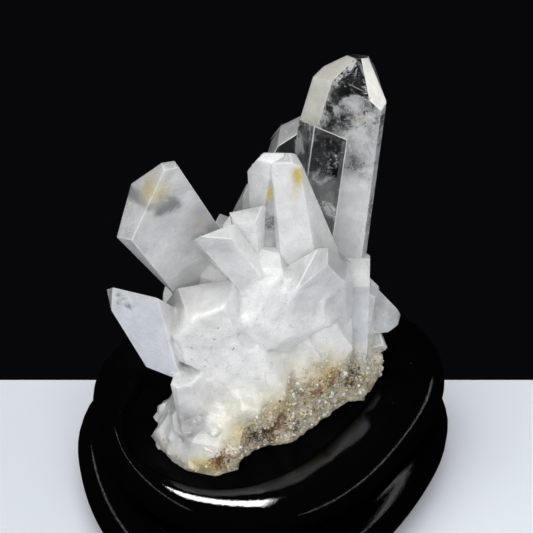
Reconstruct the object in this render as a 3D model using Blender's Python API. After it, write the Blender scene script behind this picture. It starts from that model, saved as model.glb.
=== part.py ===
"""Quartz crystal cluster on a low carved stand of black lacquered wood.

Frame: metres, +Z up. The origin is the centre of the stand's underside, and -Y is the front.
The pieces are written in millimetres and degrees, as a ruler and a goniometer would give
them, and scaled to metres when they are made.
"""
import math
import random

import bmesh
import bpy
from mathutils import Matrix, Vector

MM = 0.001
TOUCH_GAP = 0.3                 # between the stone's cut base and the floor that it rests on

# Stand
STAND_HEIGHT = 48.0             # to the lip round the recess
RECESS_FLOOR = 46.0             # height of the flat floor that the stone rests on
RIDGE_HEIGHT = 38.0             # thin ridge round the top board, the board's widest line
RIM_RADIUS = 60.5
RIM_LOBES = ((2, 4.7, 36.0), (3, 4.8, 31.0), (4, 1.5, -40.0))   # waves, depth, direction
RECESS_CENTRE = (-2.0, 2.0)
RECESS_HALF = (57.0, 37.0)
RECESS_TURN = 57.0              # from +X to the recess's long axis
RECESS_SQUARENESS = 2.4         # 2 is an ellipse, and higher is squarer
RECESS_WALL = 1.6               # width of the sloping wall from the floor to the lip
LIP_ROUNDING = 0.6
STAND_SIDES = 72
SHOULDER_STEPS = 8
# Under the ridge, from the top down: inset from the rim, height
STAND_PROFILE = ((0.0, 36.8), (4.6, 35.4), (7.0, 33.4), (6.6, 32.2), (4.4, 31.4), (4.6, 30.6),
                 (6.6, 29.8), (6.2, 28.8), (3.0, 28.0), (3.2, 27.2), (4.8, 26.2), (1.2, 24.4),
                 (-1.6, 22.4), (-3.7, 19.8), (-4.6, 17.0), (-4.3, 13.5), (-3.0, 10.0), (-0.6, 7.0),
                 (2.4, 4.4), (5.4, 3.0), (6.4, 2.2), (6.0, 0.0))
BULGE_TOP = 26.0                # under this height the foot bulges out, more to the left
BULGE_SHIFT = -2.0

# Quartz
SEAT = RECESS_FLOOR + TOUCH_GAP
CAP_SLOPE = 38.0                # how far a pyramid face of quartz looks up towards the tip
BLOCK = 70.0                    # width of the block that a crystal is cut from
BLOCK_END = 12.0                # how far it runs past the tip and the foot
GOLDEN_ANGLE = math.pi * (3 - math.sqrt(5))
WELD = 0.01                     # corners closer than this are one corner

# Outline of the cut base, counter-clockwise from the left end of the front
SEAT_OUTLINE = ((-36, -20), (-36, -29), (-31, -37), (-26, -41.5), (-17, -44), (-9, -41), (-8.5, -35.5),
                (-5.5, -32), (1, -29), (8, -27), (15, -20), (22, -12), (29, -5.5), (36, -1), (39.4, 6.8),
                (38.8, 13.6), (30, 22), (14, 20), (-2, 10), (-18, 2), (-30, -6))
CRUST_STEPS = ((-3.0, 1.0), (3.0, 1.01), (11.0, 0.94), (20.0, 0.76))   # height over the seat, scale in plan
CRUST_HEIGHT = 16.0             # how far up the small points grow
DRUSE_SEED = 7
DRUSE_COUNT = 64
DRUSE_RADIUS = (1.2, 2.6)
GRAIN_COUNT = 40
GRAIN_RADIUS = (1.6, 3.4)


def clear_scene():
    for obj in list(bpy.data.objects):
        bpy.data.objects.remove(obj, do_unlink=True)


def principled(name, colour, roughness, transmission=0.0):
    material = bpy.data.materials.new(name)
    material.use_nodes = True
    shader = material.node_tree.nodes["Principled BSDF"]
    shader.inputs["Base Color"].default_value = (*colour, 1.0)
    shader.inputs["Roughness"].default_value = roughness
    shader.inputs["Metallic"].default_value = 0.0
    shader.inputs["Transmission Weight"].default_value = transmission
    return material


def new_object(name, bm, material):
    """Turns a mesh written in millimetres into an object in metres."""
    bmesh.ops.scale(bm, vec=(MM, MM, MM), verts=bm.verts)
    mesh = bpy.data.meshes.new(name)
    bm.to_mesh(mesh)
    bm.free()
    obj = bpy.data.objects.new(name, mesh)
    bpy.context.scene.collection.objects.link(obj)
    if material:
        mesh.materials.append(material)
    return obj


# Stand

def rim_point(angle, inset):
    """Point of the stand's wavy outline, moved inwards by inset."""
    lobes = (depth * math.cos(waves * (angle - math.radians(turn))) for waves, depth, turn in RIM_LOBES)
    radius = RIM_RADIUS + sum(lobes) - inset
    return Vector((radius * math.cos(angle), radius * math.sin(angle)))


def recess_point(angle, grow):
    """Point of the recess's rounded outline, moved outwards by grow."""
    turned = angle - math.radians(RECESS_TURN)
    along = abs(math.cos(turned) / (RECESS_HALF[0] + grow)) ** RECESS_SQUARENESS
    across = abs(math.sin(turned) / (RECESS_HALF[1] + grow)) ** RECESS_SQUARENESS
    radius = (along + across) ** (-1.0 / RECESS_SQUARENESS)
    return Vector(RECESS_CENTRE) + Vector((radius * math.cos(angle), radius * math.sin(angle)))


def stand_rings():
    """Rings of points from the recess's floor over the shoulder and down to the foot."""
    angles = [math.tau * n / STAND_SIDES for n in range(STAND_SIDES)]
    rings = [[(*recess_point(a, -RECESS_WALL), RECESS_FLOOR) for a in angles],
             [(*recess_point(a, 0.0), STAND_HEIGHT - LIP_ROUNDING) for a in angles]]
    for step in range(SHOULDER_STEPS + 1):
        turn = math.pi / 2 * step / SHOULDER_STEPS
        height = RIDGE_HEIGHT + (STAND_HEIGHT - RIDGE_HEIGHT) * math.cos(turn)
        rings.append([(*recess_point(a, LIP_ROUNDING).lerp(rim_point(a, 0.0), math.sin(turn)), height)
                      for a in angles])
    for inset, height in STAND_PROFILE:
        shift = Vector((BULGE_SHIFT if height < BULGE_TOP else 0.0, 0.0))
        rings.append([(*(rim_point(a, inset) + shift), height) for a in angles])
    return rings


def skin(rings):
    """Closed skin through rings of points of equal count, its two ends capped."""
    bm = bmesh.new()
    circle = bmesh.ops.create_circle(bm, cap_ends=False, segments=len(rings[0]), radius=1.0)["verts"]
    place = {vert: number for number, vert in enumerate(circle)}
    for ring in rings:
        if ring is not rings[0]:
            edges = [e for e in bm.edges if e.verts[0] in place and e.verts[1] in place]
            made = bmesh.ops.extrude_edge_only(bm, edges=edges)["geom"]
            drawn = {}
            for vert in (v for v in made if isinstance(v, bmesh.types.BMVert)):
                parent = next(e.other_vert(vert) for e in vert.link_edges if e.other_vert(vert) in place)
                drawn[vert] = place[parent]
            place = drawn
        for vert, number in place.items():
            vert.co = ring[number]
        if ring is rings[0]:
            bm.faces.new(sorted(place, key=place.get))
    bm.faces.new(sorted(place, key=place.get))
    bmesh.ops.recalc_face_normals(bm, faces=bm.faces)
    return bm


def build_stand():
    stand = new_object("display_stand", skin(stand_rings()),
                       principled("black_lacquer", (0.012, 0.011, 0.012), 0.12))
    stand.data.shade_smooth()
    stand.data.set_sharp_from_angle(angle=math.radians(40))
    return stand


# Quartz

def add_to_stone(bm, stone):
    """Keeps one convex block as a hidden operand of the union that makes the stone."""
    bmesh.ops.recalc_face_normals(bm, faces=bm.faces)
    obj = new_object("crystal", bm, None)
    obj.hide_render = True
    obj.display_type = "WIRE"
    bpy.context.scene.collection.objects.unlink(obj)
    stone.objects.link(obj)


def cut_block(bm, point, normal):
    """Cuts a convex block with a plane and closes it again."""
    cut = bmesh.ops.bisect_plane(bm, geom=bm.verts[:] + bm.edges[:] + bm.faces[:], dist=1e-5,
                                 plane_co=point, plane_no=normal, clear_outer=True)
    edges = [e for e in cut["geom_cut"] if isinstance(e, bmesh.types.BMEdge)]
    if len(edges) > 2:
        bmesh.ops.contextual_create(bm, geom=edges)


def crystal(stone, tip, foot, faces):
    """One point, a block cut by its faces, from its tip to just past its foot.

    A face is a compass direction round the axis (0 looks to the front, 90 to the right), a
    slope towards the tip, and its distance from the tip.
    """
    tip, foot = Vector(tip), Vector(foot)
    axis = (tip - foot).normalized()
    front = Vector((0.0, -1.0, 0.0))
    front = (front - axis * front.dot(axis)).normalized()
    right = axis.cross(front)
    bm = bmesh.new()
    bmesh.ops.create_cube(bm, size=1.0)
    bmesh.ops.scale(bm, vec=(BLOCK, BLOCK, (tip - foot).length + 2 * BLOCK_END), verts=bm.verts)
    turn = Matrix((right, -front, axis)).transposed().to_4x4()
    bmesh.ops.transform(bm, matrix=Matrix.Translation((tip + foot) / 2) @ turn, verts=bm.verts)
    for compass, slope, distance in faces:
        compass, slope = math.radians(compass), math.radians(slope)
        around = front * math.cos(compass) + right * math.sin(compass)
        normal = around * math.cos(slope) + axis * math.sin(slope)
        cut_block(bm, tip + normal * distance, normal)
    add_to_stone(bm, stone)


def hexagon(turn, radius, caps=(0.0, 1.5, 0.4, 2.0, 0.0, 1.2), taper=1.5):
    """Faces of a regular six-sided point, its pyramid faces set back by caps."""
    sides = [(turn + 60 * k, taper, radius) for k in range(6)]
    return sides + [(turn + 60 * k, CAP_SLOPE, setback) for k, setback in enumerate(caps)]


def lump(stone, centre, radii, seed, faces=26):
    """Massive quartz with no crystal form: a pebble with flat, uneven breaks."""
    chance = random.Random(seed)
    bm = bmesh.new()
    bmesh.ops.create_cube(bm, size=4.0)
    for number in range(faces):
        height = 1 - 2 * (number + 0.5) / faces
        angle = number * GOLDEN_ANGLE + chance.uniform(-0.3, 0.3)
        level = math.sqrt(1 - height * height)
        normal = Vector((level * math.cos(angle), level * math.sin(angle), height))
        cut_block(bm, normal * chance.uniform(0.84, 1.0), normal)
    bmesh.ops.scale(bm, vec=radii, verts=bm.verts)
    bmesh.ops.translate(bm, vec=centre, verts=bm.verts)
    add_to_stone(bm, stone)


def tall_pair(stone):
    """The tall point at the back right, and the clear ones grown against its left side."""
    crystal(stone, (29.5, 14, 171), (17.5, 12, 60),
            ((-15, 0, 9), (-62, 6, 10), (57, 1.5, 12.5), (102, 1.5, 7), (-135, 7, 10), (165, 0, 10),
             (3, 43.5, 1), (-88, 50, 1), (25, 45, 1), (199, 72, -0.5), (95, 30, 2.2), (-150, 40, 2.5),
             (160, 42, 2)))
    crystal(stone, (17, 4, 151.5), (6, 3, 70),
            ((-16, 0, 8), (-70, -1.5, 5), (88, 2, 8.4), (165, 0, 6), (-130, -1, 7.5), (149, 58, -0.6)))
    crystal(stone, (9, 15, 146), (4, 8, 80),
            ((0, 2, 5), (60, 0, 9), (-90, 10.5, 4.5), (-91, 22.5, 2.1), (-83, 51, -1.4), (168, 4.6, 5)))


def centre_group(stone):
    """The stepped group of milky points in the middle."""
    crystal(stone, (0, -11, 150), (6, -10, 80),
            ((-27, 7.7, 5), (22, -2.5, 6.4), (-102, 0.5, 5.5), (-23, 62, 3.3), (-125, 35, 0.9),
             (169, 44, 0.2), (85, 0, 6), (160, 0, 7)))
    crystal(stone, (6, -12, 150), (11.7, -13.4, 100),
            ((-2, 2, 5.4), (60, 3.2, 6.4), (-62, 1.5, 6.5), (3, 64.5, 3.3), (109, 15, 3), (170, 45, 0.6),
             (66, 50, 3.4), (175, 0, 6), (-130, 0, 7)))
    crystal(stone, (-6, 0, 129), (-1, 0, 90),
            ((0, 3.5, 1.9), (-60, 10, 2.2), (-88, 27, 1.4), (170, 7.5, 0.9), (158, 36, 1.9), (90, 0, 7)))
    crystal(stone, (-6, -19, 134.5), (3, -12, 95),
            ((-11, 60, 1), (-74, -2.5, 5.3), (58, -8.5, 4.3), (-7, 1, 3.8), (180, 39, 0.6), (175, 0, 8)))


def left_group(stone):
    """The wide point that leans out to the upper left, the ledge on it and the wedge below."""
    crystal(stone, (-36, -31, 158), (-5, -12, 80),
            ((28, -12, 6), (112, 2, 8.3), (-43, -8, 18), (-68, 48, -2.3), (-141, 0, 9.5), (183, 35, -0.3),
             (91, 47, 4.6), (170, 0, 13)))
    crystal(stone, (-19, -27, 131), (4, -12, 85),
            ((2, 8.5, 2.9), (80, 3, 7.7), (44, 45, 3.2), (-60, 0, 3.5), (150, 0, 8), (-140, 0, 8),
             (180, 40, 0)))
    crystal(stone, (-46, -33, 116), (-28, -28, 78),
            ((-8, -4, 5), (146, 28, -1.6), (-73, 27.5, 3.2), (-89, 6, 4.9), (-72, -32, 25.6), (71, -18, 13.2),
             (175, 0, 9)))
    crystal(stone, (-32, -8, 100), (-10, -4, 84), hexagon(20, 5.5))
    crystal(stone, (-25, -33, 108), (-6, -18, 60),
            ((-55, 14, 6), (5, 6.5, 3), (62, -2.5, 11.3), (-60, -35, 22), (170, 0, 10), (-80, 45, -1),
             (-30, 60, -2), (0, 90, -3)))


def right_group(stone):
    """The broad rounded point at the front right, the straight prism and the side points."""
    crystal(stone, (20, -20, 114), (10, -4, 70),
            ((35, 11.5, 1.8), (18, 33.5, 3.6), (75, 16, 4.2), (62, 26.5, 1.5), (-42, -4.5, 16.6),
             (42, -26, 29.4), (81, -7, 18.8), (198, 5, 2.3), (-62, 33.5, 9.4)))
    crystal(stone, (31, -1, 100), (31, -3, 52),
            ((0, -2.3, 4.9), (88, 0, 3.2), (-60, 1.3, 4.3), (130, 0, 5), (-130, 0, 8), (0, 45, 0), (0, 90, 2)))
    crystal(stone, (45, 4, 74), (26, 8, 86),
            ((10.5, 6, 3.5), (-123, 10.5, 1.6), (65, 2, 8), (-59, 55.5, 1.1), (1, 55.5, 1.9), (180, 0, 8),
             (180, 55, -2.0), (120, 50, 2)))
    crystal(stone, (42.5, 7, 59), (26, 9, 67), hexagon(15, 4.6))
    lump(stone, (35.2, 7.5, 51), (5, 5, 6), 6, faces=14)
    crystal(stone, (34, 4, 92), (30, 2, 60), hexagon(10, 4))


def base_left_group(stone):
    """The upright blades and the small side point at the foot of the left end."""
    crystal(stone, (-27, -33, 84), (-22, -35, 46),
            ((10.5, -4, 4.7), (-45, 0.5, 5.1), (-100, -1, 4.2), (58, 4.5, 3.6), (170, 0, 8),
             (0, 90, -5)))
    crystal(stone, (-38, -27, 53), (-24, -30, 47),
            ((11, 3.5, 2.9), (102, 24, 8.5), (145, 71, -1.5), (-33.5, 41, 0.1), (0, 90, 0.2),
             (180, 0, 8), (-100, 0, 8)))
    crystal(stone, (-8, -39, 71), (-6, -22, 58), hexagon(10, 6))


def heart_of_stone(stone):
    """The massive milky quartz that all the points grow from."""
    lump(stone, (-22, -26, 56), (12, 14, 16), 1)
    lump(stone, (-8, -18, 70), (18, 17, 26), 2)
    lump(stone, (12, -8, 72), (18, 15, 26), 3)
    lump(stone, (26, 5, 62), (11, 10, 18), 4)
    lump(stone, (-2, -14, 98), (20, 16, 22), 5)


def back_group(stone):
    """Points of middling size that lean out behind."""
    for tip, foot, turn, radius in (((6, 34, 112), (4, 2, 75), 15, 8), ((-16, 24, 104), (-6, -2, 72), 40, 7),
                                    ((26, 36, 92), (16, 6, 66), 5, 6.5), ((-34, 6, 88), (-14, -8, 66), 25, 6),
                                    ((-8, 30, 78), (-2, 4, 62), 50, 5.5), ((12, 24, 132), (8, 2, 85), 30, 6),
                                    ((-12, 6, 116), (-6, -6, 85), 10, 5.5), ((36, 26, 76), (22, 8, 62), 20, 5),
                                    ((16, 32, 66), (12, 8, 58), 35, 5), ((-26, 14, 68), (-12, -4, 58), 0, 5)):
        crystal(stone, tip, foot, hexagon(turn, radius))


def seat_point(share):
    """Point on the seat's outline, for a share of the way round it."""
    corners = [Vector(corner) for corner in SEAT_OUTLINE]
    sides = list(zip(corners, corners[1:] + corners[:1]))
    left = share % 1.0 * sum((b - a).length for a, b in sides)
    for a, b in sides:
        if left <= (b - a).length:
            along = (b - a).normalized()
            return a + along * left, Vector((along.y, -along.x))
        left -= (b - a).length
    return corners[0], Vector((0.0, -1.0))


def crust(stone):
    """The rough matrix round the foot, with small points and grains grown on it."""
    middle = sum((Vector(corner) for corner in SEAT_OUTLINE), Vector((0.0, 0.0))) / len(SEAT_OUTLINE)
    rings = []
    for height, narrow in CRUST_STEPS:
        rings.append([(*middle.lerp(Vector(corner), narrow), SEAT + height) for corner in SEAT_OUTLINE])
    add_to_stone(skin(rings), stone)
    chance = random.Random(DRUSE_SEED)
    for number in range(DRUSE_COUNT):
        point, out = seat_point((number + chance.uniform(0.0, 0.8)) / DRUSE_COUNT)
        height = chance.uniform(1.0, CRUST_HEIGHT)
        foot = Vector((*(point - out * (3.5 + 0.3 * height)), SEAT + height))
        lean = Vector((out.x, out.y, chance.uniform(-0.1, 0.8)))
        lean += Vector([chance.uniform(-0.5, 0.5) for _ in range(3)])
        radius = chance.uniform(*DRUSE_RADIUS)
        tip = foot + lean.normalized() * chance.uniform(4.5, 7.5)
        crystal(stone, tip, foot, hexagon(chance.uniform(0, 60), radius))
    for number in range(GRAIN_COUNT):
        point, out = seat_point(number / GRAIN_COUNT)
        centre = (*(point - out * chance.uniform(1.0, 3.5)), SEAT + chance.uniform(0.0, 9.0))
        radii = [chance.uniform(*GRAIN_RADIUS) for _ in range(3)]
        lump(stone, centre, radii, number, faces=11)


def build_cluster():
    """Unites every block into one stone and cuts its base flat."""
    crystals = bpy.data.collections.new("crystals")
    for group in (tall_pair, centre_group, left_group, right_group, base_left_group, back_group,
                  heart_of_stone, crust):
        group(crystals)
    blocks = list(crystals.objects)
    cluster = blocks[0].copy()
    cluster.data = blocks[0].data.copy()
    cluster.name = "quartz_cluster"
    cluster.hide_render = False
    cluster.display_type = "TEXTURED"
    bpy.context.scene.collection.objects.link(cluster)
    crystals.objects.unlink(blocks[0])
    bpy.context.scene.collection.children.link(crystals)
    union = cluster.modifiers.new("grown together", "BOOLEAN")
    union.operation = "UNION"
    union.operand_type = "COLLECTION"
    union.collection = crystals
    union.solver = "EXACT"
    bpy.data.objects.remove(blocks[0])
    evaluated = cluster.evaluated_get(bpy.context.evaluated_depsgraph_get())
    mesh = bpy.data.meshes.new_from_object(evaluated)
    cluster.modifiers.clear()
    cluster.data = mesh
    mesh.name = "quartz_cluster"
    for block in list(crystals.objects):
        bpy.data.objects.remove(block)
    bpy.data.collections.remove(crystals)
    bm = bmesh.new()
    bm.from_mesh(mesh)
    bmesh.ops.remove_doubles(bm, verts=bm.verts, dist=WELD * MM)
    bmesh.ops.dissolve_degenerate(bm, edges=bm.edges, dist=WELD * MM)
    cut_block(bm, Vector((0.0, 0.0, SEAT * MM)), Vector((0.0, 0.0, -1.0)))
    bmesh.ops.triangulate(bm, faces=bm.faces)
    bm.to_mesh(mesh)
    bm.free()
    mesh.materials.clear()
    mesh.materials.append(principled("milky_quartz", (0.86, 0.86, 0.87), 0.12, 0.4))
    return cluster


clear_scene()
build_stand()
build_cluster()
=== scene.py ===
import math
import random

import bmesh
import bpy
import numpy as np
from mathutils import Matrix, Vector, noise
from mathutils.bvhtree import BVHTree


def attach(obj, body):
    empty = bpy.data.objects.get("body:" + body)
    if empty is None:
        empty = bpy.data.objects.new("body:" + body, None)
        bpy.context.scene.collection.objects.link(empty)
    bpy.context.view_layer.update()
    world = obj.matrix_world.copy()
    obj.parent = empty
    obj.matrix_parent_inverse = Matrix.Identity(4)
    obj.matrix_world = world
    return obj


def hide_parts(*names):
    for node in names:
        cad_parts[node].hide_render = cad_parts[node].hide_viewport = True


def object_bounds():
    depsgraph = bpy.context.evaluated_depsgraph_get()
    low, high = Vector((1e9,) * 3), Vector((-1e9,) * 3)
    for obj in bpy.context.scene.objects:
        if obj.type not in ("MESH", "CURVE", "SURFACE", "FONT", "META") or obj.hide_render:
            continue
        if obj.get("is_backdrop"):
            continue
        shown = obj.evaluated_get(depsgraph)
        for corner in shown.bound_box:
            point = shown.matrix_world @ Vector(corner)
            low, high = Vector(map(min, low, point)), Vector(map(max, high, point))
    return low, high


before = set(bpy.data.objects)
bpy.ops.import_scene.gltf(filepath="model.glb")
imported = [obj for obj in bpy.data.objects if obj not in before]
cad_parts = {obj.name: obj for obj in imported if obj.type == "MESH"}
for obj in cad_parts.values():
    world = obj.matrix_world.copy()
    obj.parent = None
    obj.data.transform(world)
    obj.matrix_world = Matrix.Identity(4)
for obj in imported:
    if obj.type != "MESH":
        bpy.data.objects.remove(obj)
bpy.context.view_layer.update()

scene = bpy.context.scene


# Display stand. One block of hardwood, carved by hand into a rolled top board, a ribbed neck
# and a bulging foot, with a shallow recess cut to seat the stone. It is sprayed with black
# lacquer, which is polished outside and left slightly duller, with some dust, in the recess.
MM = 0.001
LACQUER = (0.0006, 0.0006, 0.0007)
DUST = (0.20, 0.20, 0.21)
CARVED_EDGE = 40.0
RECESS_LOW = 45.5                # the recess is over this height, and its flat floor
RECESS_FLOOR_TOP = 46.2         # under this one


def merged_copy(node):
    """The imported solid's skin as one connected mesh."""
    bm = bmesh.new()
    bm.from_mesh(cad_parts[node].data)
    bmesh.ops.remove_doubles(bm, verts=bm.verts, dist=0.002 * MM)
    return bm


def put(tree, kind, sockets=None, **settings):
    """Adds a node, sets it and links or fills its sockets, and returns its first output."""
    made = tree.nodes.new(kind)
    for name, value in settings.items():
        setattr(made, name, value)
    for name, value in (sockets or {}).items():
        if isinstance(value, bpy.types.NodeSocket):
            tree.links.new(value, made.inputs[name])
        else:
            made.inputs[name].default_value = value
    return made.outputs[0] if made.outputs else made


def finish_of(name, **plain):
    """A new Principled finish with its plain sockets set, its node tree and its shader."""
    material = bpy.data.materials.new(name)
    material.use_nodes = True
    shader = material.node_tree.nodes["Principled BSDF"]
    for socket, value in plain.items():
        shader.inputs[socket.replace("_", " ")].default_value = value
    return material, material.node_tree, shader


def object_place(tree):
    return put(tree, "ShaderNodeTexCoord").node.outputs["Object"]


def noise_at(tree, place, size, detail=3.0, roughness=0.5, distortion=0.0):
    """Noise whose lumps are about size millimetres wide."""
    return put(tree, "ShaderNodeTexNoise", {"Vector": place, "Scale": 1.0 / (size * MM), "Detail": detail,
                                            "Roughness": roughness, "Distortion": distortion})


def ramp(tree, value, low, high, to_low=0.0, to_high=1.0):
    """Maps value from low..high to to_low..to_high and stops at both ends."""
    return put(tree, "ShaderNodeMapRange", {"Value": value, "From Min": low, "From Max": high,
                                            "To Min": to_low, "To Max": to_high})


def maths(tree, operation, a, b=0.0):
    return put(tree, "ShaderNodeMath", {0: a, 1: b}, operation=operation)


def blend_colour(tree, share, a, b):
    made = put(tree, "ShaderNodeMix", {"Factor": share}, data_type="RGBA").node
    for number, colour in ((6, a), (7, b)):
        if isinstance(colour, bpy.types.NodeSocket):
            tree.links.new(colour, made.inputs[number])
        else:
            made.inputs[number].default_value = (*colour, 1.0)
    return made.outputs[2]


def blend_value(tree, share, a, b):
    return put(tree, "ShaderNodeMix", {"Factor": share, "A": a, "B": b})


def bump(tree, height, depth, strength=1.0, under=None):
    """Bump of depth millimetres over an earlier normal."""
    sockets = {"Height": height, "Distance": depth * MM, "Strength": strength}
    if under:
        sockets["Normal"] = under
    return put(tree, "ShaderNodeBump", sockets)


def make_piece(name, bm, material):
    mesh = bpy.data.meshes.new(name)
    bm.to_mesh(mesh)
    bm.free()
    mesh.materials.append(material)
    piece = bpy.data.objects.new(name, mesh)
    scene.collection.objects.link(piece)
    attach(piece, "root")
    return piece


lacquer, tree, shader = finish_of("black_lacquer", IOR=1.5, Specular_IOR_Level=0.0, Coat_Roughness=0.035, Coat_IOR=1.5)
place = object_place(tree)
facing = put(tree, "ShaderNodeNewGeometry").node.outputs["Normal"]
upward = put(tree, "ShaderNodeSeparateXYZ", {"Vector": facing}).node.outputs["Z"]
specks = maths(tree, "MULTIPLY", ramp(tree, noise_at(tree, place, 0.5, 1.0), 0.79, 0.84),
               ramp(tree, upward, 0.85, 0.98))
haze = maths(tree, "MULTIPLY", ramp(tree, noise_at(tree, place, 22.0, 5.0, 0.6), 0.42, 0.75, 0.0, 0.003),
             ramp(tree, upward, 0.9, 1.0))
dust = maths(tree, "MAXIMUM", specks, haze)
tree.links.new(blend_colour(tree, dust, LACQUER, DUST), shader.inputs["Base Color"])
sheen = ramp(tree, noise_at(tree, place, 5.0, 4.0), 0.3, 0.7, 0.10, 0.18)
in_recess = put(tree, "ShaderNodeAttribute", attribute_name="recess").node.outputs["Fac"]
tree.links.new(blend_value(tree, in_recess, sheen, 0.5), shader.inputs["Roughness"])
tree.links.new(blend_value(tree, in_recess, 1.0, 0.03), shader.inputs["Coat Weight"])
peel = bump(tree, noise_at(tree, place, 2.2, 2.0), 0.012, 0.6)
peel = bump(tree, noise_at(tree, place, 0.55, 2.0), 0.026, 0.9, peel)
grain_place = put(tree, "ShaderNodeMapping", {"Vector": place, "Scale": (0.25, 1.0, 1.0)})
tree.links.new(bump(tree, noise_at(tree, grain_place, 4.0, 3.0), 0.05, 0.5, peel), shader.inputs["Normal"])
tree.links.new(peel, shader.inputs["Coat Normal"])

bm = merged_copy("display_stand")
for face in bm.faces:
    face.smooth = True
for edge in bm.edges:
    edge.smooth = edge.calc_face_angle(0.0) < math.radians(CARVED_EDGE)
recess = []
for vert in bm.verts:
    inward = -(vert.normal.xy @ vert.co.xy.normalized()) if vert.co.z > RECESS_LOW * MM else 0.0
    on_floor = RECESS_LOW * MM < vert.co.z < RECESS_FLOOR_TOP * MM
    recess.append(1.0 if on_floor else min(max(inward * 10.0, 0.0), 1.0))
stand = make_piece("lacquered_stand", bm, lacquer)
stand.data.attributes.new("recess", "FLOAT", "POINT").data.foreach_set("value", recess)
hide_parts("display_stand")


# Quartz cluster. Points of rock crystal that grew together from one crust of milky quartz: clear
# or nearly clear at their tips, cloudy below, with flat faces, fine growth lines across them and
# edges that are rounded or chipped by a few tenths of a millimetre.
FACET_ANGLE = 0.4               # faces within this of one plane are one crystal face
EDGE_ANGLE = 14.0
WORN_EDGE = 0.25                # width of the worn strip along an edge
WORN_EDGE_LENGTH = 2.5
MESH_STEP = 2.1                 # longest side of a triangle of the painted mesh
CRUST_STEP = 1.15               # and of one in the crust
SEAT_TOP = 46.32                # the flat cut underside lies under this height
SOFT_EDGE = 35.0                # sharper edges stay sharp where the stone is massive

MILKY = (0.835, 0.835, 0.83)
# Painted light: the cream look of faces that catch the light.
LIT_CREAM = (0.86, 0.84, 0.76)
# Painted shade: the bluish grey look of faces in shade.
SHADE_BLUISH = (0.76, 0.785, 0.84)
SMOKY = (0.50, 0.51, 0.54)
CLEAR_TINT = (0.97, 0.975, 0.98)
IRON_YELLOW = (0.54, 0.43, 0.15)
IRON_BROWN = (0.20, 0.10, 0.04)
SOOT = (0.018, 0.016, 0.015)
SAND = (0.50, 0.44, 0.32)
WARM = (0.76, 0.74, 0.64)
TAN = (0.70, 0.64, 0.49)
RUST_RED = (0.30, 0.13, 0.035)
GAP = (0.06, 0.045, 0.03)

# Crystal faces with a look set for each: a point on the face, its tone, and how clear it is. Part of
# the tone is painted light and shade: cream on faces that catch the light, bluish grey on faces in shade.
# Over 1, a face stays clear through all clouds.
FACES = (((15.4, 13.3, 159.1), LIT_CREAM, 0.05), ((28.7, 8.8, 167.2), MILKY, 1.4), ((23.1, 5.9, 159.9), MILKY, 0.60),
         ((30.9, 12.6, 170.4), LIT_CREAM, 0.20), ((35.2, 2.5, 143.4), SMOKY, 0.8), ((18.4, -5.1, 144.5), MILKY, 1.4),
         ((13.7, -1.5, 151.5), SHADE_BLUISH, 0.95), ((6.0, 9.0, 139.3), MILKY, 1.4), ((9.5, 7.6, 143.6), MILKY, 1.4),
         ((5.7, -15.6, 152.0), MILKY, 0.64), ((1.1, -17.2, 139.4), SHADE_BLUISH, 0.66), ((-5.5, -15.1, 136.1), MILKY, 0.45),
         ((8.8, -17.8, 145.4), MILKY, 0.16), ((-7.6, -2.0, 127.3), MILKY, 0.6), ((-33.3, -34.3, 154.4), LIT_CREAM, 0.36),
         ((-29.3, -30.2, 143.7), MILKY, 0.34), ((-44.8, -37.7, 114.0), SHADE_BLUISH, 0.20), ((40.0, 0.4, 81.0), SHADE_BLUISH, 0.48),
         ((29.7, -5.9, 90.0), SHADE_BLUISH, 0.26), ((16.2, -13.6, 131.3), MILKY, 0.08), ((20.5, -18.2, 99.3), MILKY, 0.22),
         ((38.4, 3.3, 63.7), SMOKY, 1.3), ((21.7, 14.9, 167.0), LIT_CREAM, 0.10), ((-8.2, -25.1, 127.8), MILKY, 0.06),
         ((-3.9, -22.3, 130.5), MILKY, 0.06), ((-1.4, -19.2, 129.4), MILKY, 0.1), ((-43.3, -28.4, 139.5), MILKY, 0.30))
TALL_FACE = (23.1, 5.9, 159.9)  # clear over a slanting line and cloudy under it
TALL_LINE = ((23.9, 147.0), 1.14)
# Clear streaks in cloudy faces: both ends and a half width
WINDOWS = (((-41.7, -25.5, 146), (-38.3, -30.9, 147.5), 1.5), ((-38.3, -30.9, 147.5), (-34.5, -35.2, 147.2), 1.1),
           ((-31.5, -33.2, 149), (-27.0, -28.4, 142.6), 1.0), ((-31.2, -32.4, 146.5), (-31.7, -31.9, 144.0), 1.9),
           ((-30.5, -31.5, 146.0), (-28.6, -29.8, 143.8), 2.0), ((-45.6, -38.0, 117), (-44.8, -38.0, 114.5), 0.5),
           ((-46.5, -37.5, 113.0), (-44.5, -38.0, 111.5), 0.45), ((-43.2, -37.5, 112.0), (-42.6, -37.2, 109.5), 0.4))
VEILS = (((21.8, -6, 149), (7, 6, 7), 0.5), ((18.5, -5.5, 138), (5.5, 5, 10), 0.6), ((20.5, -6.5, 127), (7, 6, 9), 0.8),
         ((30, 4, 153), (8, 6, 8), 0.8), ((27, 9, 167), (5, 6, 5), 0.6), ((23, 3, 113), (8, 6, 10), 0.9),
         ((36.5, 9, 164), (3.2, 6, 8), 1.3), ((33, 11, 170), (4, 5, 3), 1.3), ((-33, -31, 140), (12, 12, 14), 0.45))
IRON = (((9.4, -17.8, 146.5), (3.2, 4, 7.5), 1.7), ((8.6, -17.8, 140.5), (2.6, 4, 8), 0.9),
        ((1.2, -17.2, 138.5), (2.6, 4, 8), 0.7), ((0.8, -17.3, 139.8), (1.9, 3, 5), 1.8), ((-35, -33, 152), (12, 9, 10), 1.1), ((-21, -21.5, 131.5), (4, 5, 3), 0.8),
        ((29.5, 4.2, 155.0), (4.5, 4, 3.5), 0.7), ((-19, -43, 50), (13, 8, 6), 1.6), ((-27, -35, 60), (6, 6, 7), 0.3),
        ((-8, -38, 60), (14, 8, 11), 0.9), ((4, -29, 64), (16, 9, 13), 0.9), ((20, -18, 68), (16, 9, 14), 1.0))
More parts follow.
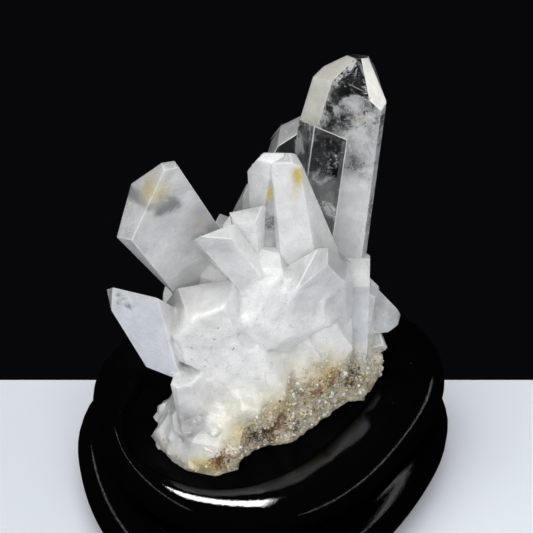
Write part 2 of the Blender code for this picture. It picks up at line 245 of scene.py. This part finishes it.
RUST = (((-15.0, -43.2, 51.5), (4.2, 4, 4.2), 1.7), ((-12.5, -41, 54), (6, 5, 6), 0.7), ((-2, -31, 52), (11, 7, 6), 1.4),
        ((6, -29, 57), (10, 6, 8), 0.9), ((21, -19, 63), (13, 8, 10), 0.9), ((30, -7, 57), (7, 6, 7), 0.5),
        ((0, 18, 54), (26, 14, 8), 0.6), ((-22, 0, 54), (10, 20, 7), 0.6))
SOOTY = (((21.3, -18, 63), (11, 7, 9), 1.0), ((11.2, -26.6, 55), (10, 7, 7), 0.85), ((-1, -31, 52), (10, 6, 5), 1.2),
         ((30, -7, 57), (7, 6, 7), 0.9), ((-15, -43, 52), (9, 6, 5), 0.6), ((31, 3.9, 158), (5, 4, 5), 0.5),
         ((0, 18, 54), (28, 14, 8), 0.6), ((-16, -34, 92), (30, 20, 30), 0.12))
CRUST_TOP = ((-40, 45), (-25, 48), (-9, 60), (5, 71), (18, 76), (30, 70), (42, 57))   # x, height the crust reaches
CRUST_SOFT = 11.0
# Where the stone is massive, with soft, rounded breaks instead of sharp faces
MASSIVE = (((-18, -33, 93), (20, 18, 22), 1.0), ((2, -28, 101), (15, 14, 17), 1.0), ((-10, -32, 74), (24, 16, 20), 1.0),
           ((14, -22, 84), (18, 14, 20), 0.9), ((16, -22, 103), (14, 12, 12), 0.35), ((0, 0, 62), (60, 34, 20), 0.8),
           ((-34, -31, 52), (10, 12, 15), 1.0))
CRISP = (((-23, -38, 64), (9, 10, 22), 1.0),)      # but not at the left end of the foot
WARMED = (((-8, -38, 66), (27, 16, 22), 0.9), ((12, -26, 72), (22, 14, 20), 0.8), ((-20, -30, 100), (14, 14, 14), 0.25))
THIN = (((-25, -38, 62), (12, 12, 22), 0.62), ((-10, -38, 66), (14, 10, 14), 0.25))   # paler, clearer parts there
MELT_STEPS = 14

# Axes of the larger points: tip, foot and half width
AXES = (((29.5, 14, 171), (17.5, 12, 60), 10), ((17, 4, 151.5), (6, 3, 70), 7), ((9, 15, 146), (4, 8, 80), 5),
        ((0, -11, 150), (6, -10, 80), 6), ((6, -12, 150), (11.7, -13.4, 100), 6), ((-6, 0, 129), (-1, 0, 90), 4),
        ((-6, -19, 134.5), (3, -12, 95), 5), ((-36, -31, 158), (-5, -12, 80), 11), ((-19, -27, 131), (4, -12, 85), 6),
        ((-46, -33, 116), (-28, -28, 78), 8), ((-25, -33, 108), (-6, -18, 60), 9), ((20, -20, 114), (10, -4, 70), 12),
        ((31, -1, 100), (31, -3, 52), 5), ((45, 4, 74), (26, 8, 86), 7), ((-27, -33, 84), (-22, -35, 46), 5),
        ((6, 34, 112), (4, 2, 75), 8), ((-16, 24, 104), (-6, -2, 72), 7), ((26, 36, 92), (16, 6, 66), 6))

bm = merged_copy("quartz_cluster")
bmesh.ops.dissolve_limit(bm, angle_limit=math.radians(FACET_ANGLE), use_dissolve_boundaries=False,
                         verts=bm.verts, edges=bm.edges, delimit=set())


def step(values, low, high):
    share = np.clip((values - low) / (high - low), 0.0, 1.0)
    return share * share * (3 - 2 * share)


def soft_balls(points, spots):
    """Strongest of some soft balls at each point, each ball with a centre, radii and an amount."""
    field = np.zeros(len(points))
    for centre, radii, amount in spots:
        away = np.linalg.norm((points - np.array(centre)) / np.array(radii), axis=1)
        field = np.maximum(field, amount * step(1.0 - away, 0.0, 1.0))
    return field


def soft_streaks(points, streaks):
    """Strongest of some streaks at each point: 1 on the line, and 0 from three half widths on."""
    field = np.zeros(len(points))
    for start, end, width in streaks:
        start, run = np.array(start, float), np.array(end, float) - np.array(start, float)
        share = np.clip((points - start) @ run / (run @ run), 0.0, 1.0)
        away = np.linalg.norm(points - start - share[:, None] * run, axis=1)
        field = np.maximum(field, 1.0 - step(away, 0.3 * width, 3.0 * width))
    return field


def crust_field(points):
    """1 in the granular crust round the foot and 0 on the clean crystals above it."""
    crust_x, crust_z = zip(*CRUST_TOP)
    top = np.interp(points[:, 0], crust_x, crust_z) - np.clip(points[:, 1], 0.0, 30.0) * 0.2
    return step(top - points[:, 2], -CRUST_SOFT, CRUST_SOFT)


def wears(edge):
    """True for a long outer edge between faces, away from tiny steps that a worn strip would overrun."""
    if len(edge.link_faces) != 2 or not edge.is_convex or edge.calc_length() < WORN_EDGE_LENGTH * MM:
        return False
    if edge.calc_face_angle(0.0) < math.radians(EDGE_ANGLE):
        return False
    return all(near.calc_length() > 3 * WORN_EDGE * MM for vert in edge.verts for near in vert.link_edges)


def refine(bm, longest, crust_only=False):
    """Splits edges until none is longer than longest millimetres, all of them or those in the crust."""
    for _ in range(8):
        long_edges = [e for e in bm.edges if e.calc_length() > longest * MM]
        if crust_only and long_edges:
            middles = np.array([(e.verts[0].co + e.verts[1].co)[:] for e in long_edges]) / (2 * MM)
            inside = (crust_field(middles) > 0.3) & (middles[:, 2] > SEAT_TOP)
            long_edges = [e for e, on in zip(long_edges, inside) if on]
        if not long_edges:
            break
        bmesh.ops.subdivide_edges(bm, edges=long_edges, cuts=1, use_grid_fill=True)
        bmesh.ops.triangulate(bm, faces=[f for f in bm.faces if len(f.verts) > 3])


worn_mark = bm.faces.layers.int.new("worn_mark")
facet_mark = bm.faces.layers.int.new("facet_mark")
for number, face in enumerate(bm.faces):
    face[facet_mark] = number
worn = bmesh.ops.bevel(bm, geom=[e for e in bm.edges if wears(e)], offset=WORN_EDGE * MM, segments=2, profile=0.5,
                       affect="EDGES", clamp_overlap=False, material=-1)
for face in worn["faces"]:
    face[worn_mark] = 1
bmesh.ops.triangulate(bm, faces=bm.faces)
refine(bm, MESH_STEP)
refine(bm, CRUST_STEP, crust_only=True)

surface = BVHTree.FromBMesh(bm)
flat_normals = np.array([f.normal[:] for f in bm.faces])
flat_centres = np.array([f.calc_center_median()[:] for f in bm.faces]) / MM
places = np.array([v.co[:] for v in bm.verts]) / MM
crisp = np.clip(soft_balls(places, CRISP) * 2.5, 0.0, 0.62)
massive = np.clip(soft_balls(places, MASSIVE) * 2.2, 0.0, 1.0) * (1.0 - crisp)
crusty = crust_field(places)
seated = places[:, 2] < SEAT_TOP
for number in range(MELT_STEPS):
    share = (massive > (number + 0.5) / MELT_STEPS) & ~seated
    bmesh.ops.smooth_vert(bm, verts=[v for v, on in zip(bm.verts, share) if on], factor=0.5,
                          use_axis_x=True, use_axis_y=True, use_axis_z=True)
bm.normal_update()
for vert, soft, crust, low in zip(bm.verts, massive, crusty, seated):
    if low or soft + crust < 0.05:
        continue
    spot = vert.co / MM
    broken = 0.45 - noise.voronoi(spot / 6.5)[0][0]
    grains = 0.5 - noise.voronoi(spot / 1.5)[0][0] * 0.8 + noise.noise(spot / 4.5) * 1.4
    lumps = broken * 0.9 * soft * (1 - crust) + noise.noise(spot / 2.2) * 0.3 * soft
    lumps += grains * 0.9 * crust * min(soft + crust, 1.0)
    vert.co += vert.normal * (lumps - 0.15 * crust) * MM

centres = np.array([f.calc_center_median()[:] for f in bm.faces]) / MM
normals = np.array([f.normal[:] for f in bm.faces])
marks = np.array([f[worn_mark] for f in bm.faces], float)
facets = np.array([f[facet_mark] for f in bm.faces])
areas = np.array([f.calc_area() for f in bm.faces]) / MM ** 2
places = np.array([v.co[:] for v in bm.verts]) / MM
corners = np.array([[v.index for v in f.verts] for f in bm.faces])


def stain_at(spot):
    """How strongly stains gather at a spot of the crust, from about -1 to 1."""
    return noise.noise(Vector(spot) / 5.5) * 1.5 + noise.noise(Vector(spot) / 2.2) * 0.6


def face_mask(point):
    """Which triangles belong to the crystal face at point."""
    on, normal, _, _ = surface.find_nearest(Vector(point) * MM)
    level = (flat_centres - np.array(on) / MM) @ np.array(normal)
    return (flat_normals @ np.array(normal) > math.cos(math.radians(1.0))) & (np.abs(level) < 0.05)


def crystal_frame():
    """Each corner's place along the axis of its facet's crystal, in mm and as a share of its length."""
    best = np.full(facets.max() + 1, 1e9)
    along = np.zeros((len(centres), 3))
    share = np.zeros((len(centres), 3))
    for number, (tip, foot, width) in enumerate(AXES):
        tip, foot = np.array(tip, float), np.array(foot, float)
        length = np.linalg.norm(tip - foot)
        axis = (tip - foot) / length
        reach = np.clip((centres - foot) @ axis, 0.0, length)
        away = np.linalg.norm(centres - foot - reach[:, None] * axis, axis=1) / width
        away = np.bincount(facets, away * areas) / np.maximum(np.bincount(facets, areas), 1e-9)
        nearer = (away < best)[facets]
        best = np.minimum(best, away)
        height = ((places - foot) @ axis)[corners][nearer]
        along[nearer] = height + 37.0 * number
        share[nearer] = np.clip(height / length, 0.0, 1.0)
    return along, share


along, tipward = crystal_frame()
warmed = soft_balls(places, WARMED)[corners][:, :, None]
tone = np.array(MILKY) * (1.0 - warmed) + np.array(WARM) * warmed
behind = np.clip(normals[:, 1] * 1.6, 0.0, 1.0)[:, None]
high_up = step(places[:, 2], 122, 134)[corners]
clear = 0.08 + 0.30 * tipward ** 1.5 + 0.42 * behind * tipward + behind * high_up
# Each listed face takes its tone, partly painted light and shade, and its clearness.
for point, colour, clearness in FACES:
    mask = face_mask(point)
    tone[mask] = colour
    clear[mask] = clearness * (0.45 + 0.55 * step(tipward[mask], 0.15, 0.6)) if clearness < 1 else clearness
(line_x, line_z), slant = TALL_LINE
mask = face_mask(TALL_FACE)
over = (places[:, 2] - line_z - slant * (places[:, 0] - line_x))[corners][mask]
rise = places[:, 2][corners][mask]
clear[mask] = 0.24 + 0.34 * step(rise, 114, 138) + 0.38 * step(over, -1.0, 1.0)
clear = np.maximum(clear, soft_balls(places, THIN)[corners]) * (1.0 - 0.8 * massive[corners]) * (1.0 - 0.8 * crusty[corners])
stain = np.array([stain_at(p + 230.0) if share > 0.02 else 0.0 for p, share in zip(places, crusty)])
spotting = np.array([stain_at(p + 200.0) if share > 0.02 else 0.0 for p, share in zip(places, crusty)])
iron = soft_balls(places, IRON)
rust = soft_balls(places, RUST) * np.clip(0.8 + 2.0 * stain, 0.15, 1.7)
soot = soft_balls(places, SOOTY) * np.clip(0.7 + 2.4 * spotting, 0.05, 2.0)
fields = {"tone": tone, "clear": clear, "veil": soft_balls(places, VEILS)[corners],
          "window": soft_streaks(places, WINDOWS)[corners], "iron": iron[corners],
          "rust": rust[corners], "soot": soot[corners],
          "along": along, "crust": crusty[corners], "worn": np.repeat(marks[:, None], 3, axis=1)}

for face in bm.faces:
    face.smooth = all(massive[v.index] > 0.3 and crusty[v.index] < 0.6 for v in face.verts)
for edge in bm.edges:
    edge.smooth = edge.calc_face_angle(0.0) < math.radians(SOFT_EDGE)

quartz, tree, shader = finish_of("rock_crystal", IOR=1.544, Subsurface_Weight=0.7,
                                 Subsurface_Radius=(1.0, 1.0, 1.05), Subsurface_Scale=0.006,
                                 Coat_Weight=0.8, Coat_Roughness=0.05, Coat_IOR=1.5)


def painted(tree, name):
    """A field that is painted on the mesh."""
    return put(tree, "ShaderNodeAttribute", attribute_name=name).node.outputs["Fac"]


def ragged(tree, field, rough, reach, low=0.45, high=0.6):
    """A soft field cut to a patch with a ragged edge by noise."""
    torn = maths(tree, "ADD", field, maths(tree, "MULTIPLY", maths(tree, "SUBTRACT", rough, 0.5), reach))
    return maths(tree, "MULTIPLY", ramp(tree, torn, low, high), ramp(tree, field, 0.0, 0.3))


def times(tree, first, *others):
    """Product of some values."""
    for other in others:
        first = maths(tree, "MULTIPLY", first, other)
    return first


def less(tree, value, share=1.0):
    """1 - share * value."""
    return maths(tree, "SUBTRACT", 1.0, maths(tree, "MULTIPLY", value, share))


def threads(tree, place, size, width, detail=5.0, distortion=0.8):
    """Thin wandering lines about size millimetres apart."""
    wandering = noise_at(tree, place, size, detail, 0.6, distortion)
    off_line = maths(tree, "ABSOLUTE", maths(tree, "SUBTRACT", wandering, 0.5))
    return ramp(tree, off_line, 0.0, width, 1.0, 0.0)


def cells(tree, place, size, feature="F1"):
    """Random cells about size millimetres wide: the texture node."""
    return put(tree, "ShaderNodeTexVoronoi", {"Vector": place, "Scale": 1.0 / (size * MM)}, feature=feature).node


place = object_place(tree)
tone_at = put(tree, "ShaderNodeAttribute", attribute_name="tone").node.outputs["Color"]
clear_at, veil_at, window_at, iron_at, rust_at, soot_at, crust_at, worn_at, along_at = (
    painted(tree, name) for name in ("clear", "veil", "window", "iron", "rust", "soot", "crust", "worn", "along"))
cloud = noise_at(tree, place, 9.0, 6.0, 0.62, 0.4)
wisps = noise_at(tree, place, 3.2, 7.0, 0.7, 1.6)
grit = noise_at(tree, place, 0.9, 3.0, 0.6)
speckle = noise_at(tree, place, 0.45, 2.0, 0.6)
blotch = noise_at(tree, place, 4.0, 5.0, 0.65)

# Clouds, wisps and healed cracks inside the clear crystals
warp = put(tree, "ShaderNodeVectorMath", {0: put(tree, "ShaderNodeTexNoise", {
    "Vector": place, "Scale": 1.0 / (6.0 * MM), "Detail": 3.0}).node.outputs["Color"], 1: (0.006, 0.006, 0.006)},
           operation="MULTIPLY")
bent_place = put(tree, "ShaderNodeVectorMath", {0: place, 1: warp}, operation="ADD")
crack = ramp(tree, cells(tree, bent_place, 11.0, "DISTANCE_TO_EDGE").outputs["Distance"], 0.0, 0.022, 1.0, 0.0)
crack = times(tree, crack, ramp(tree, blotch, 0.5, 0.6))
wisp_lines = times(tree, threads(tree, place, 5.0, 0.045), ramp(tree, cloud, 0.42, 0.6))
veil = times(tree, veil_at, maths(tree, "MAXIMUM", ramp(tree, wisps, 0.5, 0.7, 0.0, 0.7), wisp_lines))
faint = maths(tree, "MAXIMUM", maths(tree, "MULTIPLY", wisp_lines, 0.35), maths(tree, "MULTIPLY", crack, 0.7))
see_through = times(tree, clear_at, ramp(tree, cloud, 0.34, 0.64, 0.35, 1.5), less(tree, veil, 0.85),
                    less(tree, faint, 0.6), less(tree, worn_at, 0.7))
open_patch = times(tree, ragged(tree, window_at, wisps, 0.9, 0.15, 0.85), less(tree, crack, 0.7), 0.74)
see_through = maths(tree, "MINIMUM", maths(tree, "MAXIMUM", see_through, open_patch), 1.0)

# Milky tone, iron stains and the sandy, sooty crust
mottle = ramp(tree, noise_at(tree, place, 5.0, 6.0, 0.7), 0.3, 0.72, 0.82, 1.06)
mottle = times(tree, mottle, ramp(tree, speckle, 0.3, 0.7, 0.90, 1.05), less(tree, crack, 0.22))
milk = put(tree, "ShaderNodeVectorMath", {0: tone_at, 1: mottle}, operation="MULTIPLY")
milk = blend_colour(tree, times(tree, window_at, 0.5), milk, SMOKY)
grain = put(tree, "ShaderNodeSeparateColor", {"Color": cells(tree, bent_place, 0.7).outputs["Color"]}).node.outputs
crust_patch = ragged(tree, crust_at, blotch, 1.8, 0.35, 1.1)
sandy = times(tree, crust_patch, ramp(tree, grain["Red"], 0.15, 0.85, 0.95, 0.15))
milk = blend_colour(tree, times(tree, crust_at, 0.9), milk, TAN)
milk = blend_colour(tree, sandy, milk, SAND)
brown_share = maths(tree, "ADD", times(tree, rust_at, ramp(tree, grit, 0.3, 0.6), 0.8), times(tree, crust_patch, ramp(tree, wisps, 0.5, 0.62), 0.30))
brown = ramp(tree, maths(tree, "SUBTRACT", brown_share, grain["Green"]), 0.0, 0.12)
black_share = maths(tree, "ADD", times(tree, soot_at, ramp(tree, speckle, 0.35, 0.6), 0.75), times(tree, crust_patch, ramp(tree, blotch, 0.52, 0.62), 0.14))
black = ramp(tree, maths(tree, "SUBTRACT", black_share, grain["Blue"]), 0.0, 0.06)
between = ramp(tree, cells(tree, bent_place, 1.3, "DISTANCE_TO_EDGE").outputs["Distance"], 0.02, 0.16, 1.0, 0.0)
gaps = times(tree, between, crust_patch, ramp(tree, noise_at(tree, place, 6.0, 3.0, 0.6), 0.46, 0.6))
yellow = maths(tree, "ADD", times(tree, iron_at, ramp(tree, cloud, 0.35, 0.6, 0.15, 0.48)),
               times(tree, ragged(tree, iron_at, wisps, 2.4, 0.45, 1.5), ramp(tree, grit, 0.3, 0.7, 0.2, 0.75)))
colour = blend_colour(tree, see_through, milk, CLEAR_TINT)
colour = blend_colour(tree, yellow, colour, IRON_YELLOW)
colour = blend_colour(tree, times(tree, rust_at, ramp(tree, wisps, 0.35, 0.6), 0.75), colour, RUST_RED)
colour = blend_colour(tree, times(tree, gaps, 0.4), colour, GAP)
colour = blend_colour(tree, times(tree, brown, 0.85), colour, IRON_BROWN)
colour = blend_colour(tree, times(tree, black, 0.92), colour, SOOT)
tree.links.new(colour, shader.inputs["Base Color"])
solid_colour = maths(tree, "MAXIMUM", maths(tree, "MAXIMUM", black, brown),
                     maths(tree, "MAXIMUM", times(tree, crust_patch, 0.8), times(tree, yellow, 1.1)))
see_through = times(tree, see_through, maths(tree, "MAXIMUM", less(tree, solid_colour), 0.0))
tree.links.new(see_through, shader.inputs["Transmission Weight"])
polish = maths(tree, "MINIMUM", ramp(tree, see_through, 0.0, 0.72, 0.42, 0.29), ramp(tree, see_through, 0.72, 0.86, 0.42, 0.01))
tree.links.new(maths(tree, "ADD", polish, times(tree, crust_patch, 0.12)), shader.inputs["Roughness"])

# Growth lines across the points, low relief on the faces and the grains of the crust
growth = put(tree, "ShaderNodeTexNoise", {"W": maths(tree, "MULTIPLY", along_at, 1.1), "Scale": 1.0, "Detail": 3.0},
             noise_dimensions="1D")
relief = bump(tree, growth, 0.05, 0.5)
relief = bump(tree, noise_at(tree, place, 8.0, 3.0, 0.5), 0.12, 0.5, relief)
relief = bump(tree, times(tree, grit, maths(tree, "ADD", crust_patch, 0.12)), 0.5, 0.7, relief)
frost = times(tree, noise_at(tree, place, 1.8, 4.0, 0.6), less(tree, see_through))
relief = bump(tree, frost, 0.34, 0.8, relief)
relief = bump(tree, times(tree, speckle, less(tree, see_through)), 0.07, 0.6, relief)
tree.links.new(relief, shader.inputs["Normal"])

# Each grain of the crust is a chip of quartz, sand or iron ore of about a millimetre
GRAINS = 2600
GRAIN_SIZE = (0.16, 1.0)       # half a grain's width
GRAIN_TONES = (((0.87, 0.84, 0.74), 0.46), ((0.68, 0.59, 0.40), 0.34), ((0.42, 0.31, 0.13), 0.20))
crust_share = crusty[corners].mean(axis=1)
chance = areas * step(crust_share, 0.15, 1.0) ** 1.5 * (centres[:, 2] > SEAT_TOP + 1.0)
chance /= chance.sum()
iron_share, rust_share, soot_share = (share[corners].mean(axis=1) for share in (iron, rust, soot))
draw = np.random.default_rng(11)
seats = draw.choice(len(centres), GRAINS, p=chance)
grain_weights = np.array([share for _, share in GRAIN_TONES])
grain_tone = []


def sown(spots, shape_of, batch=60):
    """One bmesh of many small closed chips, made a few at a time: shape_of adds the chip of a spot."""
    whole = bmesh.new()
    for start in range(0, len(spots), batch):
        few = bmesh.new()
        for spot in spots[start:start + batch]:
            shape_of(few, spot)
        mesh = bpy.data.meshes.new("chips")
        few.to_mesh(mesh)
        few.free()
        whole.from_mesh(mesh)
        bpy.data.meshes.remove(mesh)
    return whole


def chip(bm, spot, half, turn, uneven, rounds=1):
    """A small uneven chip with flat faces; half is its three half widths."""
    verts = bmesh.ops.create_icosphere(bm, subdivisions=rounds, radius=1.0)["verts"]
    for vert in verts:
        vert.co *= 1.0 + draw.uniform(-uneven, uneven)
    size = Matrix.Diagonal((*(float(side) * MM for side in half), 1.0))
    bmesh.ops.transform(bm, verts=verts, matrix=Matrix.Translation(Vector(spot) * MM) @ turn @ size)


def crust_chip(bm, seat):
    size = GRAIN_SIZE[0] + (GRAIN_SIZE[1] - GRAIN_SIZE[0]) * draw.uniform() ** 3
    turn = Matrix.Rotation(draw.uniform(0, math.tau), 4, Vector(draw.normal(size=3)).normalized())
    spot = Vector(centres[seat] + normals[seat] * size * 0.05)
    spot.z = max(spot.z, SEAT_TOP + size * 1.3)
    chip(bm, spot, size * draw.uniform(0.5, 1.3, 3), turn, 0.28)
    tone = np.array(GRAIN_TONES[draw.choice(len(GRAIN_TONES), p=grain_weights)][0]) * draw.uniform(0.8, 1.15)
    for share, stained, most in ((iron_share, IRON_YELLOW, 0.6), (rust_share, RUST_RED, 0.8),
                                 (rust_share, IRON_BROWN, 0.9), (soot_share, SOOT, 0.93)):
        hue = min(max(share[seat] * 1.6 - draw.uniform(0.1, 1.1), 0.0) * 1.8, most)
        tone = tone * (1 - hue) + np.array(stained) * hue
    grain_tone.append(tone)


grains = sown(seats, crust_chip)

cluster = make_piece("quartz_points", bm, quartz)
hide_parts("quartz_cluster")


def paint(piece, fields):
    """Puts fields on a mesh's corners, a colour where a corner has three values and a number otherwise."""
    for name, values in fields.items():
        if values.ndim == 3:
            layer = piece.data.attributes.new(name, "FLOAT_COLOR", "CORNER")
            values = np.concatenate([values, np.ones((*values.shape[:2], 1))], axis=2)
            layer.data.foreach_set("color", values.astype(np.float32).ravel())
        else:
            layer = piece.data.attributes.new(name, "FLOAT", "CORNER")
            layer.data.foreach_set("value", values.astype(np.float32).ravel())


paint(cluster, fields)

chips, tree, shader = finish_of("crust_chips", IOR=1.544, Subsurface_Weight=0.6, Subsurface_Radius=(1.0, 0.9, 0.8),
                                Subsurface_Scale=0.001, Coat_Weight=0.5, Coat_Roughness=0.1, Coat_IOR=1.5)
place = object_place(tree)
tone_at = put(tree, "ShaderNodeAttribute", attribute_name="grain_tone").node.outputs["Color"]
dusty = ramp(tree, noise_at(tree, place, 0.6, 4.0, 0.6), 0.35, 0.7, 0.0, 0.22)
tree.links.new(blend_colour(tree, dusty, tone_at, SAND), shader.inputs["Base Color"])
tree.links.new(ramp(tree, noise_at(tree, place, 0.4, 2.0), 0.3, 0.7, 0.12, 0.5), shader.inputs["Roughness"])
tree.links.new(bump(tree, noise_at(tree, place, 0.35, 3.0), 0.12, 0.8), shader.inputs["Normal"])
crust_grains = make_piece("crust_grains", grains, chips)
per_face = len(crust_grains.data.polygons) // GRAINS
paint(crust_grains, {"grain_tone": np.repeat(np.repeat(np.array(grain_tone), per_face, axis=0)[:, None], 3, axis=1)})


# Healed cracks and feathers. Breaks and films of tiny bubbles inside the clear points, closed in
# as the crystal grew on, which lie under its faces and shine silvery white.
FILM = (0.90, 0.91, 0.92)
CRACKS = (((28.4, 10.8, 168.4), (27.6, 10.3, 165.4), 0.40), ((29.3, 12.3, 169.3), (30.6, 10.6, 165.6), 0.42),
          ((31.0, 10.8, 166.4), (33.4, 8.8, 162.4), 0.30), ((24.0, 10.6, 166.2), (26.4, 10.5, 166.6), 0.25),
          ((25.4, 8.8, 163.8), (32.6, 6.6, 161.2), 0.16), ((26.8, 6.2, 157.6), (30.6, 5.6, 156.0), 0.55),
          ((24.6, 6.4, 152.6), (28.2, 5.8, 154.6), 0.30), ((21.9, -3.9, 126.5), (22.0, -4.2, 121.5), 0.5),
          ((19.6, -3.9, 125.5), (19.9, -4.0, 122.0), 0.35), ((5.0, 13.0, 146.5), (1.5, 15.5, 139.5), 0.35))
# Films of bubbles: both ends of the film's middle line, its half width, how many and how large they are
FEATHERS = (((25.0, -3.6, 150), (19.5, -3.2, 137), 2.0, 90, 0.45), ((19.5, -3.2, 137), (20.5, -3.8, 124), 2.6, 110, 0.5),
            ((24, 7.5, 158), (33, 6.5, 153), 2.2, 60, 0.45), ((28, 8.0, 152), (31, 7.0, 140), 3.0, 60, 0.5),
            ((30, 8, 166), (33, 7, 160), 0.9, 50, 0.35), ((6.5, 12, 145), (3.5, 13, 136), 1.2, 40, 0.4),
            ((-5, -10, 146), (-2, -9, 132), 2.2, 50, 0.45), ((20, 19, 160), (24, 20, 130), 4.0, 60, 0.6))

film, tree, shader = finish_of("healed_film", IOR=1.3, Transmission_Weight=0.25)
place = object_place(tree)
tree.links.new(blend_colour(tree, noise_at(tree, place, 0.8, 3.0), FILM, SMOKY), shader.inputs["Base Color"])
tree.links.new(ramp(tree, noise_at(tree, place, 0.5, 3.0), 0.3, 0.7, 0.15, 0.45), shader.inputs["Roughness"])
tree.links.new(bump(tree, noise_at(tree, place, 0.4, 3.0), 0.1, 0.8), shader.inputs["Normal"])


def crack_film(bm, crack):
    start, end, width = crack
    run = Vector(end) - Vector(start)
    turn = run.to_track_quat("X", "Y").to_matrix().to_4x4()
    chip(bm, (Vector(start) + Vector(end)) / 2, (run.length / 2, 0.07, width), turn, 0.22, rounds=3)


def bubble_film(bm, spot):
    place, size = spot
    turn = Matrix.Rotation(draw.normal(0.0, 0.5), 4, "Z") @ Matrix.Rotation(draw.normal(0.6, 0.4), 4, "Y")
    chip(bm, place, (size * draw.uniform(0.4, 1.6), 0.05, size * draw.uniform(0.2, 0.7)), turn, 0.3)


bubbles = []
for start, end, width, count, size in FEATHERS:
    run = Vector(end) - Vector(start)
    aside = run.cross(Vector((0, 1, 0))).normalized()
    for _ in range(count):
        share = draw.uniform()
        sway = aside * (math.sin(share * 7.0) * 0.5 + draw.normal(0.0, 0.4)) * width
        spot = Vector(start) + run * share + sway + Vector((0, draw.normal(0.0, 0.35), 0))
        bubbles.append((spot, size * draw.uniform(0.3, 1.0)))
films = sown(CRACKS, crack_film)
more = sown(bubbles, bubble_film)
mesh = bpy.data.meshes.new("bubbles")
more.to_mesh(mesh)
more.free()
films.from_mesh(mesh)
bpy.data.meshes.remove(mesh)
healed_films = make_piece("healed_films", films, film)


# Table, lights and camera
TABLE_BACK = 61.5
bm = bmesh.new()
bmesh.ops.create_grid(bm, x_segments=1, y_segments=1, size=1.0)
bmesh.ops.scale(bm, vec=(1.2, 0.7, 1.0), verts=bm.verts)
bmesh.ops.translate(bm, vec=(0.0, TABLE_BACK * MM - 0.7, 0.0), verts=bm.verts)
table_paint, tree, shader = finish_of("pale_table", Roughness=0.5)
shader.inputs["Base Color"].default_value = (0.76, 0.80, 0.86, 1.0)
mesh = bpy.data.meshes.new("table")
bm.to_mesh(mesh)
bm.free()
mesh.materials.append(table_paint)
table = bpy.data.objects.new("table", mesh)
scene.collection.objects.link(table)
table.visible_glossy = False
table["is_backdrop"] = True

world = bpy.data.worlds.new("dark_room")
scene.world = world
world.use_nodes = True
world.node_tree.nodes["Background"].inputs["Color"].default_value = (0.0025, 0.0025, 0.0031, 1.0)


def soft_light(name, place, target, size, power, only=None):
    """A soft rectangular lamp, flagged off from all but the pieces in only."""
    lamp = bpy.data.lights.new(name, "AREA")
    lamp.shape = "RECTANGLE"
    lamp.size, lamp.size_y = size
    lamp.energy = power
    light = bpy.data.objects.new(name, lamp)
    light.location = place
    light.rotation_euler = (Vector(target) - Vector(place)).to_track_quat("-Z", "Y").to_euler()
    light.visible_camera = False
    if only:
        light.light_linking.receiver_collection = only
    scene.collection.objects.link(light)


def lit_group(name, *pieces):
    """A group of pieces for lamps that light nothing else."""
    group = bpy.data.collections.new(name)
    for piece in pieces:
        group.objects.link(piece)
    return group


MIDDLE = (0.0, 0.0, 0.10)
stone_and_table = lit_group("stone_and_table", cluster, crust_grains, healed_films, table)
stand_alone = lit_group("stand_alone", stand)
soft_light("tube_lamp", (-0.23, -0.245, 1.15), (-0.23, -0.245, 0.0), (1.05, 0.36), 34.0, stand_alone)
soft_light("left_strip", (-1.1, -0.1, 0.55), MIDDLE, (2.2, 0.05), 0.7, stand_alone)
soft_light("right_strip", (1.1, -0.1, 0.55), MIDDLE, (2.2, 0.05), 0.7, stand_alone)
soft_light("ceiling_lamp", (-0.12, -0.21, 1.15), MIDDLE, (1.0, 0.30), 5.0, stone_and_table)
soft_light("front_room", (-0.35, -1.5, 1.15), MIDDLE, (2.4, 1.6), 34.0, stone_and_table)
soft_light("right_room", (1.5, -0.4, 0.8), MIDDLE, (1.2, 1.2), 8.0, stone_and_table)
soft_light("table_lamp", (0.0, -0.2, 1.3), (0.0, -0.2, 0.0), (1.2, 1.2), 5.0, lit_group("table_alone", table))

camera = bpy.data.cameras.new("camera")
camera.lens = 125.0
camera.sensor_width = 36.0
camera_object = bpy.data.objects.new("camera", camera)
scene.collection.objects.link(camera_object)
camera_object.location = (0.0, -0.4959, 0.4597)
camera_object.rotation_euler = (Vector((0.0, -0.0105, 0.107)) - camera_object.location).to_track_quat("-Z", "Y").to_euler()
scene.camera = camera_object
scene.view_settings.view_transform = "Standard"

low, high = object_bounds()
